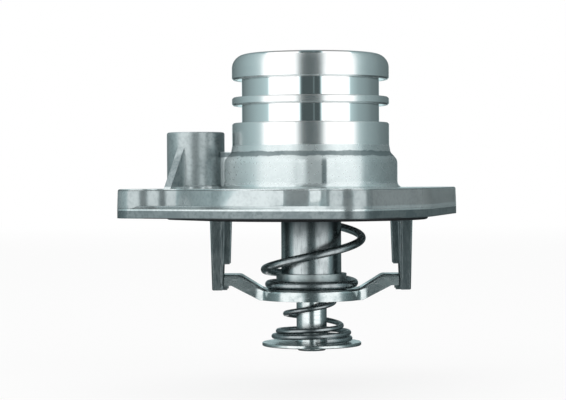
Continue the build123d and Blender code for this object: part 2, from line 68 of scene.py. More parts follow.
Pair = tuple[float, float]
Triple = tuple[float, float, float]
EVEN: Triple = (1.0, 1.0, 1.0)
WHITE: Triple = (1.0, 1.0, 1.0)


class Ray(Enum):
    """The kinds of ray that see the bright studio background."""

    CAMERA = "Is Camera Ray"
    GLOSSY = "Is Glossy Ray"
    TRANSMISSION = "Is Transmission Ray"


class Slot(Enum):
    """The record's material slots, one for each finish of the thermostat."""

    CAST_ALUMINIUM = "cast_aluminium"
    GASKET_RUBBER = "gasket_rubber"
    STAMPED_STEEL = "stamped_steel"
    SPRING_STEEL = "spring_steel"
    SEAL_RUBBER = "seal_rubber"
    PLATED_BRASS = "plated_brass"
    PLAIN_BRASS = "plain_brass"
    WASHER_PLASTIC = "washer_plastic"
    WAX = "wax"
    GROUND_STEEL = "ground_steel"


class Signal:
    """A number on a node tree that takes part in ordinary arithmetic."""

    def __init__(self, tree: bpy.types.NodeTree, socket: bpy.types.NodeSocket) -> None:
        """Wrap an output socket of a node tree."""
        self.tree = tree
        self.socket = socket

    def math(self, operation: str, *others: Signal | float, first: float | None = None) -> Signal:
        """Add a Math node on this signal.

        Args:
            operation: The Math node's operation.
            others: What follows this signal on the node's inputs.
            first: A number that comes before this signal, where the order is turned round.

        Returns:
            The node's result.
        """
        node = self.tree.nodes.new("ShaderNodeMath")
        node.operation = operation
        values: list[Signal | float] = [self, *others] if first is None else [first, self]
        for socket, value in zip(node.inputs, values):
            if isinstance(value, Signal):
                self.tree.links.new(value.socket, socket)
            else:
                socket.default_value = value
        return Signal(self.tree, node.outputs[0])

    def __add__(self, other: Signal | float) -> Signal:
        """Return the sum."""
        return self.math("ADD", other)

    __radd__ = __add__

    def __sub__(self, other: Signal | float) -> Signal:
        """Return the difference."""
        return self.math("SUBTRACT", other)

    def __rsub__(self, other: float) -> Signal:
        """Return a number less this signal."""
        return self.math("SUBTRACT", first=other)

    def __mul__(self, other: Signal | float) -> Signal:
        """Return the product."""
        return self.math("MULTIPLY", other)

    __rmul__ = __mul__

    def step(self, low: float, high: float) -> Signal:
        """Add a smooth step.

        Args:
            low: Where the result is 0.
            high: Where it is 1. It may be less than low, and then the step falls.

        Returns:
            The step, from 0 to 1.
        """
        node = self.tree.nodes.new("ShaderNodeMapRange")
        node.interpolation_type = "SMOOTHSTEP"
        self.tree.links.new(self.socket, node.inputs["Value"])
        flipped = low > high
        node.inputs["From Min"].default_value = min(low, high)
        node.inputs["From Max"].default_value = max(low, high)
        node.inputs["To Min"].default_value = 1.0 if flipped else 0.0
        node.inputs["To Max"].default_value = 0.0 if flipped else 1.0
        return Signal(self.tree, node.outputs["Result"])


@dataclass(frozen=True)
class Grit:
    """Soft noise: its blotches' width in metres, its finer layers, and how far it is drawn out."""

    size: float
    detail: float = 3.0
    stretch: Triple = EVEN


class Recipe:
    """A node tree under construction, with the few moves that the finishes share."""

    def __init__(self, tree: bpy.types.NodeTree) -> None:
        """Empty a tree, to fill it."""
        self.tree = tree
        tree.nodes.clear()

    def node(self, kind: str, settings: dict[str, Any] | None = None, **sockets: Any) -> bpy.types.Node:
        """Add one node.

        Args:
            kind: The node's type.
            settings: Its own settings, which are made first.
            sockets: Values or links for its inputs, with underscores for spaces in their names.

        Returns:
            The new node.
        """
        node = self.tree.nodes.new(kind)
        for name, value in (settings or {}).items():
            setattr(node, name, value)
        for name, value in sockets.items():
            socket = node.inputs[name.replace("_", " ")]
            if isinstance(value, Signal):
                self.tree.links.new(value.socket, socket)
            elif isinstance(value, tuple) and len(value) == 3 and socket.type == "RGBA":
                socket.default_value = (*value, 1.0)
            else:
                socket.default_value = value
        return node

    def out(self, node: bpy.types.Node, output: str | int = 0) -> Signal:
        """Return a node's output, by its name or number, as a signal."""
        return Signal(self.tree, node.outputs[output])

    def place(self) -> Signal:
        """Return the surface's own place in metres."""
        return self.out(self.node("ShaderNodeTexCoord"), "Object")

    def axes(self) -> tuple[Signal, Signal, Signal]:
        """Return the surface's place as three numbers, in metres."""
        split = self.node("ShaderNodeSeparateXYZ", Vector=self.place())
        return self.out(split, "X"), self.out(split, "Y"), self.out(split, "Z")

    def grain(self, grit: Grit) -> Signal:
        """Return soft noise over the surface.

        Args:
            grit: What the noise is like.

        Returns:
            A number about 0.5, mostly between 0.3 and 0.7.
        """
        scale = tuple(1.0 / (grit.size * longer) for longer in grit.stretch)
        mapped = self.node("ShaderNodeMapping", Vector=self.place(), Scale=scale)
        noise = self.node("ShaderNodeTexNoise", Vector=self.out(mapped), Scale=1.0, Detail=grit.detail)
        return self.out(noise, "Fac")

    def mix(self, share: Signal, first: Triple | Signal, second: Triple | Signal) -> Signal:
        """Return a colour between two colours.

        Args:
            share: How much of the second there is.
            first: The colour where share is 0.
            second: The colour where share is 1.

        Returns:
            The mixed colour.
        """
        node = self.node("ShaderNodeMix", {"data_type": "RGBA"})
        self.tree.links.new(share.socket, node.inputs[0])
        for socket, value in ((node.inputs[6], first), (node.inputs[7], second)):
            if isinstance(value, Signal):
                self.tree.links.new(value.socket, socket)
            else:
                socket.default_value = (*value, 1.0)
        return self.out(node, 2)

    def ramp(self, value: Signal, stops: tuple[Pair, ...]) -> Signal:
        """Return a level read from a row of stops.

        Args:
            value: Where to read, from 0 to 1.
            stops: Pairs of a place from 0 to 1 and a level.

        Returns:
            The level there, which runs straight between stops.
        """
        node = self.node("ShaderNodeValToRGB", Fac=value)
        elements = node.color_ramp.elements
        elements[0].position, elements[1].position = 0.0, 1.0
        elements[0].color = (*(stops[0][1],) * 3, 1.0)
        elements[1].color = (*(stops[-1][1],) * 3, 1.0)
        for place, level in stops[1:-1]:
            elements.new(place).color = (*(level,) * 3, 1.0)
        return self.out(node, "Color")

    def relief(self, edge: float, *layers: tuple[Signal, float]) -> Signal:
        """Return a surface normal that rounds sharp edges and is tilted by layers of relief.

        Args:
            edge: The radius of the rounded edges in metres.
            layers: Pairs of a height from 0 to 1 and its depth in metres.

        Returns:
            The normal.
        """
        normal = self.out(self.node("ShaderNodeBevel", {"samples": 4}, Radius=edge))
        for height, depth in layers:
            bump = self.node("ShaderNodeBump", Height=height, Strength=1.0, Distance=depth, Normal=normal)
            normal = self.out(bump)
        return normal

    def seen(self) -> Signal:
        """Tell the rays that see the bright background from the rest.

        Returns:
            1 on any kind of Ray, and 0 on the rest.
        """
        path = self.node("ShaderNodeLightPath")
        first, *others = (self.out(path, ray.value) for ray in Ray)
        for other in others:
            first = first.math("MAXIMUM", other)
        return first


def layered(base: Signal | float, *layers: tuple[Signal, float]) -> Signal:
    """Return a level with layers added to it.

    Args:
        base: The level to start from.
        layers: Pairs of a signal and how much it adds.

    Returns:
        The sum.
    """
    for signal, share in layers:
        base = base + signal * share
    return base


def surface(name: str) -> tuple[bpy.types.Material, Recipe]:
    """Start a material.

    Args:
        name: The material's name.

    Returns:
        The material and the recipe of its tree.
    """
    material = bpy.data.materials.new(name)
    material.use_nodes = True
    return material, Recipe(material.node_tree)


def shade(material: bpy.types.Material, recipe: Recipe, **sockets: Any) -> bpy.types.Material:
    """Close a material with one Principled shader.

    Args:
        material: The material to close.
        recipe: Its tree.
        sockets: Values or links for the shader.

    Returns:
        The same material.
    """
    shader = recipe.node("ShaderNodeBsdfPrincipled", **sockets)
    recipe.node("ShaderNodeOutputMaterial", Surface=recipe.out(shader))
    return material


@dataclass(frozen=True)
class CastZones:
    """Where each treatment of the casting shows: signals that are 1 there and 0 elsewhere."""

    turned: Signal
    grooves: Signal
    bore: Signal
    barrel: Signal
    belly: Signal
    corner: Signal
    flank: Signal
    ear_side: Signal
    front_ear: Signal
    lee: Signal
    ledge: Signal
    seam: Signal
    bevel: Signal
    boss: Signal
    boss_shade: Signal
    rib: Signal
    thread: Signal
    legs: Signal
    right_leg: Signal
    pad: Signal
    shadowed_scar: Signal


@dataclass(frozen=True)
class CastGrain:
    """The casting's patterns, from cloudy blotches down to fine skin."""

    blotch: Signal
    mottle: Signal
    fine: Signal
    lathe: Signal
    flow: Signal
    drag: Signal


@dataclass(frozen=True)
class CastPlan:
    """Where the casting's zones lie, in metres.

    Reaches are from the neck's axis, and levels are heights over the mounting face.
    """

    soft: float = 0.2 * MM
    bore_reach: float = 14.6 * MM
    groove_reach: float = 17.2 * MM
    neck_reach: float = 19.4 * MM
    neck_foot: float = 16.7 * MM
    barrel_reach: float = 21.4 * MM
    barrel_foot: float = 8.0 * MM
    corner_levels: Pair = (14.2 * MM, 15.0 * MM)
    wander: Grit = Grit(2.5 * MM, 2.0)
    wander_reach: float = 0.8 * MM
    ledge_top: float = 1.75 * MM
    bevel_top: float = 2.95 * MM
    shadow_line_levels: Pair = (0.03 * MM, 0.17 * MM)
    shadow_line_span: Pair = (-37.0 * MM, 19.0 * MM)
    flank_levels: Pair = (2.3 * MM, 6.3 * MM)
    lean_span: Pair = (-22.0 * MM, -6.0 * MM)
    ear_place: float = -20.5 * MM
    front_ear_span: Pair = (3.6 * MM, 13.0 * MM)
    lee_place: float = 12.5 * MM
    front_depth: float = -1.0 * MM
    gate_span: Pair = (-3.2 * MM, 3.5 * MM)
    gate_crest: Pair = (-0.3 * MM, 0.5 * MM)
    gate_levels: Pair = (8.2 * MM, 12.7 * MM)
    scar_inset: Pair = (0.8 * MM, 0.2 * MM)
    boss_place: Pair = (-27.3 * MM, 5.0 * MM)
    boss_side: Pair = (-20.0 * MM, -20.8 * MM)
    boss_foot: Pair = (6.8 * MM, 7.4 * MM)
    boss_shade_width: float = 3.5 * MM
    rib_depth: float = -2.6 * MM
    drill_reach: float = 3.6 * MM
    drill_levels: Pair = (7.0 * MM, 19.2 * MM)
    thread_pitch: float = 1.25 * MM
    leg_levels: Pair = (0.4 * MM, -0.4 * MM)
    right_leg_span: Pair = (10.0 * MM, 12.0 * MM)


@dataclass(frozen=True)
class CastWearAndShade:
    """How much dark colour each zone or pattern takes on: stains and drag marks are real, the rest is
    painted shade.
    """

    mottle: float = 0.16
    barrel_spared: float = 0.1
    blotch: float = 0.2
    drag: float = 0.35
    corner: float = 0.85
    ledge: float = 0.84
    boss: float = 0.4
    flank: float = 0.2
    ear_side: float = 0.3
    legs: float = 0.62
    right_leg: float = 0.2
    shadowed_scar: float = 0.9
    front_ear: float = 0.32
    lee: float = 0.36
    rib: float = 0.36
    boss_shade: float = 0.24
    ledge_shadow: float = 0.15


@dataclass(frozen=True)
class CastGloss:
    """The casting's roughness: its skin's, what each zone adds to it, and that of the turned neck."""

    skin: float = 0.17
    mottle: float = 0.12
    barrel: float = 0.12
    bore: float = 0.16
    ledge: float = 0.16
    boss: float = 0.17
    corner: float = 0.1
    seam: float = 0.3
    ears: float = 0.07
    land: float = 0.22
    groove: float = 0.06


@dataclass(frozen=True)
class CastDepths:
    """How deep the casting's relief is, in metres, and the radius of its rounded edges."""

    edge_radius: float = 0.16 * MM
    lean: float = 1.0 * MM
    bevel: float = 0.4 * MM
    pad: float = 0.25 * MM
    thread: float = 0.2 * MM
    blotch: float = 0.05 * MM
    mottle: float = 0.004 * MM
    fine: float = 0.0008 * MM
    flow: float = 0.0035 * MM
    drag: float = 0.005 * MM
    ears: float = 0.004 * MM
    lathe: float = 0.0006 * MM
    corner: float = 0.02 * MM


@dataclass(frozen=True)
class CastFinish:
    """Die-cast aluminium with a fine skin, and a neck that is turned bright."""

    slot: Slot = Slot.CAST_ALUMINIUM
    light: Triple = (0.68, 0.75, 0.755)
    dark: Triple = (0.19, 0.235, 0.245)
    bright: Triple = (0.88, 0.89, 0.89)
    # The black of the painted shadow under the flange's edge.
    shadow_black: Triple = (0.012, 0.015, 0.017)
    oxide: float = 0.19
    flank_oxide: float = 0.12
    belly_oxide: float = 0.16
    flank_twist: float = 0.028
    gate_rise: Pair = (0.7, 0.3)
    blotch: Grit = Grit(6.0 * MM)
    mottle: Grit = Grit(0.7 * MM)
    fine: Grit = Grit(0.25 * MM, 2.0)
    lathe: Grit = Grit(0.16 * MM, 2.0, (60.0, 60.0, 1.0))
    flow: Grit = Grit(0.35 * MM, 3.0, (7.0, 7.0, 1.0))
    drag: Grit = Grit(0.32 * MM, 3.0, (1.0, 1.0, 9.0))
    blotch_shows: Pair = (0.42, 0.75)
    mottle_shows: Pair = (0.42, 0.72)
    drag_shows: Pair = (0.4, 0.7)
    plan: CastPlan = CastPlan()
    wear_and_shade: CastWearAndShade = CastWearAndShade()
    roughness: CastGloss = CastGloss()
    depths: CastDepths = CastDepths()

    def band(self, level: Signal, low: float, high: float, soft: float) -> Signal:
        """Return 1 from low to high, and 0 past soft edges below and above them, in metres."""
        return level.step(low - soft, low) * level.step(high + soft, high)

    def zones(self, r: Recipe) -> CastZones:
        """Mark the casting's zones by their place on it.

        Args:
            r: The recipe of the material's tree.

        Returns:
            The zones.
        """
        across, deep, up = r.axes()
        plan = self.plan
        soft = plan.soft
        reach = (across * across + deep * deep).math("SQRT")
        wander = up + (r.grain(plan.wander) - 0.5) * plan.wander_reach
        shell = reach.step(plan.bore_reach - soft, plan.bore_reach)
        neck = reach.step(plan.neck_reach + soft, plan.neck_reach)
        turned = shell * neck * up.step(plan.neck_foot - soft, plan.neck_foot)
        inside = reach.step(plan.barrel_reach + 2 * soft, plan.barrel_reach)
        outside = 1.0 - inside
        # Painted shade: the flank and its ears are darkened to the tone of their reflections.
        flank = outside * self.band(up, *plan.flank_levels, soft)
        # Painted shade: the legs are darkened to the tone of their reflections, the right one more.
        legs = up.step(*plan.leg_levels)
        start, end = plan.gate_span
        crest_start, crest_end = plan.gate_crest
        left_rise, right_rise = self.gate_rise
        rise = across.step(start, crest_start) * left_rise + across.step(crest_end, end) * right_rise
        # Painted shade: the boss is darker, and its right side facing the neck and its rib darker still.
        boss = across.step(*plan.boss_side) * up.step(*plan.boss_foot)
        barrel = inside * up.step(plan.barrel_foot - 5 * soft, plan.barrel_foot) * (1.0 - turned)
        corner_foot = plan.corner_levels[0]
        belly = barrel * wander.step(corner_foot, corner_foot - soft)
        # Painted shade: the barrel's right-hand side is darker.
        lee = barrel * across.step(plan.lee_place - 8 * soft, plan.lee_place)
        front = inside * deep.step(0.0, plan.front_depth) * self.band(up, *plan.gate_levels, 6 * soft)
        scar_start, scar_end = (end - inset for inset in plan.scar_inset)
        boss_across, boss_deep = plan.boss_place
        aside, behind = across - boss_across, deep - boss_deep
        boss_reach = (aside * aside + behind * behind).math("SQRT")
        drilled = boss_reach.step(plan.drill_reach + soft, plan.drill_reach)
        turn = behind.math("ARCTAN2", aside) * (1.0 / math.tau) + up * (1.0 / plan.thread_pitch)
        shadow_line_span = self.band(across, *plan.shadow_line_span, 10 * soft)
        return CastZones(
            turned=turned,
            grooves=turned * reach.step(plan.groove_reach, plan.groove_reach - soft / 4),
            bore=1.0 - shell,
            barrel=barrel,
            belly=belly * (1.0 - lee),
            # Painted shade: a dark band in the crease at the neck's shoulder.
            corner=inside * shell * self.band(wander, *plan.corner_levels, 1.5 * soft),
            flank=flank,
            ear_side=flank * across.step(plan.ear_place + 8 * soft, plan.ear_place),
            front_ear=flank * self.band(across, *plan.front_ear_span, 3 * soft),
            lee=lee,
            # Painted shade: the ledge at the flange's foot is darkened.
            ledge=outside * self.band(up, 0.0, plan.ledge_top, soft / 2),
            # Painted shadow: a black line along the flange's bottom edge, where the gasket lies in shade.
            seam=outside * self.band(up, *plan.shadow_line_levels, soft / 10) * shadow_line_span,
            bevel=outside * up.step(plan.bevel_top, plan.ledge_top),
            boss=boss,
            boss_shade=boss * across.step(boss_across, boss_across + plan.boss_shade_width),
            rib=boss * deep.step(plan.rib_depth + 4 * soft, plan.rib_depth),
            thread=drilled * self.band(up, *plan.drill_levels, soft) * (turn * math.tau).math("SINE"),
            legs=legs,
            right_leg=legs * across.step(*plan.right_leg_span),
            pad=front * rise * across.step(end + 10 * soft, end),
            # A trim mark beside the gate pad, painted dark as shadow.
            shadowed_scar=front * self.band(across, scar_start, scar_end, 2.5 * soft),
        )

    def grain(self, r: Recipe) -> CastGrain:
        """Lay the casting's patterns.

        Args:
            r: The recipe of the material's tree.

        Returns:
            The patterns.
        """
        return CastGrain(
            blotch=r.grain(self.blotch),
            mottle=r.grain(self.mottle),
            fine=r.grain(self.fine),
            lathe=r.grain(self.lathe),
            flow=r.grain(self.flow),
            drag=r.grain(self.drag),
        )

    def colour(self, r: Recipe, z: CastZones, g: CastGrain) -> Signal:
        """Mix the casting's colour: random stains and drag marks, and painted shade on its darker zones.

        Args:
            r: The recipe of the material's tree.
            z: The casting's zones.
            g: Its patterns.

        Returns:
            The colour.
        """
        wear_and_shade = self.wear_and_shade
        spots = g.mottle.step(*self.mottle_shows) * (wear_and_shade.mottle - z.barrel * wear_and_shade.barrel_spared)
        stain = spots + g.blotch.step(*self.blotch_shows) * wear_and_shade.blotch
        # Past the stains and drag marks, these layers are painted shade that darkens zones to the tone of
        # their reflections.
        worn = layered(
            stain * (1.0 - z.turned),
            (g.drag.step(*self.drag_shows) * z.legs, wear_and_shade.drag),
            (z.corner, wear_and_shade.corner),
            (z.ledge, wear_and_shade.ledge),
            (z.boss, wear_and_shade.boss),
            (z.flank, wear_and_shade.flank),
            (z.ear_side, wear_and_shade.ear_side),
            (z.legs, wear_and_shade.legs),
            (z.right_leg, wear_and_shade.right_leg),
            (z.shadowed_scar, wear_and_shade.shadowed_scar),
            (z.front_ear, wear_and_shade.front_ear),
            (z.lee, wear_and_shade.lee),
            (z.rib, wear_and_shade.rib),
            (z.boss_shade, wear_and_shade.boss_shade),
        )
        skin = r.mix(worn.math("MINIMUM", 1.0), self.light, self.dark)
        cover = r.mix(z.turned, skin, self.bright)
        # Painted shadow: black along the line under the flange's edge, and a share of it over the ledge.
        return r.mix(z.seam + z.ledge * wear_and_shade.ledge_shadow, cover, self.shadow_black)

    def gloss(self, z: CastZones, g: CastGrain) -> Signal:
        """Return the casting's roughness, which is least in the neck's turned grooves.

        Args:
            z: The casting's zones.
            g: Its patterns.

        Returns:
            The roughness.
        """
        levels = self.roughness
        skin = layered(
            (g.mottle - 0.5) * levels.mottle + levels.skin,
            (z.barrel, levels.barrel),
            (z.bore, levels.bore),
            (z.ledge, levels.ledge),
            (z.boss, levels.boss),
            (z.corner, levels.corner),
            (z.seam, levels.seam),
            (z.ear_side + z.front_ear, levels.ears),
        )
        turned = z.turned * levels.land - z.grooves * (levels.land - levels.groove)
        return skin * (1.0 - z.turned) + turned

    def relief(self, r: Recipe, z: CastZones, g: CastGrain) -> Signal:
        """Raise the casting's relief: the flank's twist, the bevel, the gate pad, the thread and the skin.

        Args:
            r: The recipe of the material's tree.
            z: The casting's zones.
            g: Its patterns.

        Returns:
            The normal.
        """
        across, _, up = r.axes()
        low, high = self.plan.lean_span
        depths = self.depths
        cast = 1.0 - z.turned
        along = across.math("MAXIMUM", low).math("MINIMUM", high) - (low + high) / 2
        lean = along * (up - self.plan.ledge_top) * (self.flank_twist / MM / MM)
        return r.relief(
            depths.edge_radius,
            (lean * z.flank, depths.lean),
            (z.bevel, depths.bevel),
            (z.pad, depths.pad),
            (z.thread, depths.thread),
            (g.blotch * cast, depths.blotch),
            (g.mottle * cast, depths.mottle),
            (g.fine * cast, depths.fine),
            (g.flow * cast, depths.flow),
            (g.drag * z.legs, depths.drag),
            (g.lathe * (z.ear_side + z.front_ear), depths.ears),
            (g.lathe * z.turned, depths.lathe),
            (g.fine * z.corner, depths.corner),
        )

    def make(self) -> bpy.types.Material:
        """Build the material.

        Returns:
            The finished material.
        """
        material, r = surface(self.slot.value)
        z, g = self.zones(r), self.grain(r)
        oxide = z.flank * self.flank_oxide + z.belly * self.belly_oxide + self.oxide
        metal = (1.0 - (1.0 - z.turned) * oxide) * (1.0 - z.seam)
        return shade(
            material, r, Base_Color=self.colour(r, z, g), Metallic=metal, Roughness=self.gloss(z, g),
            Normal=self.relief(r, z, g),
        )


@dataclass(frozen=True)
class SheetFinish:
    """Bright stamped sheet with faint die marks and scratches, darker at its collar, arms and rim, rougher
    at the first two.

    Reaches are distances from the valve's axis, and levels are heights, in metres.
    """

    slot: Slot
    light: Triple
    dark: Triple
    roughness: float
    cloud: Grit = Grit(2.4 * MM, 4.0)
    scuff: Grit = Grit(0.5 * MM, 3.0, (5.0, 1.0, 1.0))
    cloud_shows: Pair = (0.4, 0.75)
    scuff_shows: Pair = (0.60, 0.72)
    haze_shows: Pair = (0.35, 0.7)
    collar_reach: Pair = (8.6 * MM, 8.4 * MM)
    collar_levels: Pair = (-16.4 * MM, -16.0 * MM)
    arm_reach: Pair = (12.2 * MM, 13.5 * MM)
    rim_reach: Pair = (11.5 * MM, 11.9 * MM)
    rim_levels: Pair = (-17.0 * MM, -17.4 * MM)
    cloud_wear: float = 0.5
    scuff_wear: float = 0.3
    collar_darkening: float = 0.5
    arm_darkening: float = 0.22
    rim_darkening: float = 0.2
    cloud_haze: float = 0.08
    scuff_haze: float = 0.12
    collar_haze: float = 0.22
    arm_haze: float = 0.06
    edge_radius: float = 0.14 * MM
    cloud_depth: float = 0.012 * MM
    scuff_depth: float = 0.002 * MM

    def make(self) -> bpy.types.Material:
        """Build the material.

        Returns:
            The finished material.
        """
        material, r = surface(self.slot.value)
        across, deep, up = r.axes()
        reach = (across * across + deep * deep).math("SQRT")
        cloud = r.grain(self.cloud)
        scuff = r.grain(self.scuff).step(*self.scuff_shows)
        collar = reach.step(*self.collar_reach) * up.step(*self.collar_levels)
        arm = reach.step(*self.arm_reach)
        rim = reach.step(*self.rim_reach) * up.step(*self.rim_levels)
        worn = layered(
            cloud.step(*self.cloud_shows) * self.cloud_wear,
            (scuff, self.scuff_wear),
            (collar, self.collar_darkening),
            (arm, self.arm_darkening),
            (rim, self.rim_darkening),
        )
        colour = r.mix(worn.math("MINIMUM", 1.0), self.light, self.dark)
        gloss = layered(
            self.roughness,
            (cloud.step(*self.haze_shows), self.cloud_haze),
            (scuff, self.scuff_haze),
            (collar, self.collar_haze),
            (arm, self.arm_haze),
        )
        normal = r.relief(self.edge_radius, (cloud, self.cloud_depth), (scuff, self.scuff_depth))
        return shade(material, r, Base_Color=colour, Metallic=1.0, Roughness=gloss, Normal=normal)


@dataclass(frozen=True)
class WireFinish:
    """Dark drawn spring wire with an oil-tempered skin."""

    slot: Slot = Slot.SPRING_STEEL
    light: Triple = (0.36, 0.40, 0.41)
    dark: Triple = (0.25, 0.28, 0.29)
    roughness: float = 0.25
    scale: Grit = Grit(1.6 * MM)
    draw: Grit = Grit(0.25 * MM, 2.0, (4.0, 4.0, 1.0))
    scale_shows: Pair = (0.4, 0.7)
    haze_shows: Pair = (0.4, 0.75)
    scale_haze: float = 0.06
    draw_haze: float = 0.04
    edge_radius: float = 0.05 * MM
    scale_depth: float = 0.002 * MM
    draw_depth: float = 0.0004 * MM

    def make(self) -> bpy.types.Material:
        """Build the material.

        Returns:
            The finished material.
        """
        material, r = surface(self.slot.value)
        scale, draw = r.grain(self.scale), r.grain(self.draw)
        colour = r.mix(scale.step(*self.scale_shows), self.light, self.dark)
        haze = scale.step(*self.haze_shows)
        gloss = layered(self.roughness, (haze, self.scale_haze), (draw, self.draw_haze))
        normal = r.relief(self.edge_radius, (scale, self.scale_depth), (draw, self.draw_depth))
        return shade(material, r, Base_Color=colour, Metallic=1.0, Roughness=gloss, Normal=normal)


@dataclass(frozen=True)
class GroundFinish:
    """Metal with fine lines round its axis, from turning or grinding."""

    slot: Slot
    light: Triple
    dark: Triple
    roughness: float
    lines: Grit = Grit(0.22 * MM, 3.0, (20.0, 20.0, 1.0))
    cloud: Grit = Grit(3.0 * MM)
    nick: Grit = Grit(0.8 * MM, 2.0)
    line_shows: Pair = (0.45, 0.75)
    cloud_shows: Pair = (0.5, 0.8)
    nick_shows: Pair = (0.68, 0.74)
    haze_shows: Pair = (0.4, 0.7)
    line_wear: float = 0.4
    cloud_wear: float = 0.5
    nick_wear: float = 0.3
    haze: float = 0.08
    edge_radius: float = 0.1 * MM
    line_depth: float = 0.0022 * MM
    cloud_depth: float = 0.02 * MM

    def make(self) -> bpy.types.Material:
        """Build the material.

        Returns:
            The finished material.
        """
        material, r = surface(self.slot.value)
        lines, cloud = r.grain(self.lines), r.grain(self.cloud)
        worn = layered(
            lines.step(*self.line_shows) * self.line_wear,
            (cloud.step(*self.cloud_shows), self.cloud_wear),
            (r.grain(self.nick).step(*self.nick_shows), self.nick_wear),
        )
        colour = r.mix(worn, self.light, self.dark)
        gloss = layered(self.roughness, (lines, self.haze), (cloud.step(*self.haze_shows), self.haze))
        normal = r.relief(self.edge_radius, (lines, self.line_depth), (cloud, self.cloud_depth))
        return shade(material, r, Base_Color=colour, Metallic=1.0, Roughness=gloss, Normal=normal)


@dataclass(frozen=True)
class PlatedFinish:
    """Bright plating with drawn lines, rougher towards the top and darkened there by painted shade under the
    flange.
    """

    slot: Slot = Slot.PLATED_BRASS
    foot: Triple = (0.50, 0.55, 0.56)
    # The colour at the top is painted shade.
    top: Triple = (0.065, 0.082, 0.087)
    fade: Pair = (-8.5 * MM, 0.0)
    roughness: float = 0.17
    lines: Grit = Grit(0.22 * MM, 3.0, (1.0, 1.0, 14.0))
    cloud: Grit = Grit(2.2 * MM, 3.0, (1.0, 1.0, 2.0))
    stain_shows: Pair = (0.45, 0.75)
    haze_shows: Pair = (0.4, 0.7)
    line_wear: float = 0.3
    cloud_wear: float = 0.35
    haze: float = 0.08
    edge_radius: float = 0.1 * MM
    line_depth: float = 0.0022 * MM
    cloud_depth: float = 0.03 * MM

    def make(self) -> bpy.types.Material:
        """Build the material.

        Returns:
            The finished material.
        """
        material, r = surface(self.slot.value)
        _, _, up = r.axes()
        lines, cloud = r.grain(self.lines), r.grain(self.cloud)
        # Painted shade: the cup darkens towards its top, in the flange's shadow, and is rougher there.
        dull_and_shaded = up.step(*self.fade)
        stain = layered(
            lines.step(*self.stain_shows) * self.line_wear,
            (cloud.step(*self.stain_shows), self.cloud_wear),
        )
        worn = (dull_and_shaded + stain * (1.0 - dull_and_shaded)).math("MINIMUM", 1.0)
        colour = r.mix(worn, self.foot, self.top)
        haze = cloud.step(*self.haze_shows)
        gloss = layered(self.roughness, (lines, self.haze), (haze, self.haze), (dull_and_shaded, self.haze))
        normal = r.relief(self.edge_radius, (lines, self.line_depth), (cloud, self.cloud_depth))
        return shade(material, r, Base_Color=colour, Metallic=1.0, Roughness=gloss, Normal=normal)


@dataclass(frozen=True)
class MouldedFinish:
    """Rubber, plastic or wax: no metal, with a soft skin."""

    slot: Slot
    light: Triple
    dark: Triple
    roughness: float
    skin_size: float
    sheen_level: float = 0.5
    skin_detail: float = 4.0
    skin_shows: Pair = (0.35, 0.7)
    skin_haze: float = 0.15
    edge_radius: float = 0.05 * MM
    skin_depth: float = 0.01 * MM

    def make(self) -> bpy.types.Material:
        """Build the material.

        Returns:
            The finished material.
        """
        material, r = surface(self.slot.value)
        skin = r.grain(Grit(self.skin_size, self.skin_detail))
        return shade(
            material, r,
            Base_Color=r.mix(skin.step(*self.skin_shows), self.light, self.dark),
            Roughness=self.roughness + skin * self.skin_haze,
            Specular_IOR_Level=self.sheen_level,
            Normal=r.relief(self.edge_radius, (skin, self.skin_depth)),
        )


FINISHES = (
    CastFinish(),
    SheetFinish(Slot.STAMPED_STEEL, (0.74, 0.79, 0.79), (0.30, 0.375, 0.385), 0.16),
    WireFinish(),
    PlatedFinish(),
    GroundFinish(Slot.GROUND_STEEL, (0.76, 0.82, 0.82), (0.46, 0.52, 0.53), 0.17),
    GroundFinish(Slot.PLAIN_BRASS, (0.80, 0.66, 0.38), (0.58, 0.44, 0.22), 0.2),
    MouldedFinish(Slot.GASKET_RUBBER, (0.016, 0.018, 0.020), (0.008, 0.009, 0.010), 0.5, 0.5 * MM, 0.15),
    MouldedFinish(Slot.SEAL_RUBBER, (0.035, 0.036, 0.038), (0.018, 0.018, 0.020), 0.42, 0.5 * MM),
    MouldedFinish(Slot.WASHER_PLASTIC, (0.85, 0.85, 0.82), (0.75, 0.75, 0.72), 0.4, 0.8 * MM),
    MouldedFinish(Slot.WAX, (0.55, 0.42, 0.25), (0.42, 0.28, 0.15), 0.5, 0.4 * MM),
)


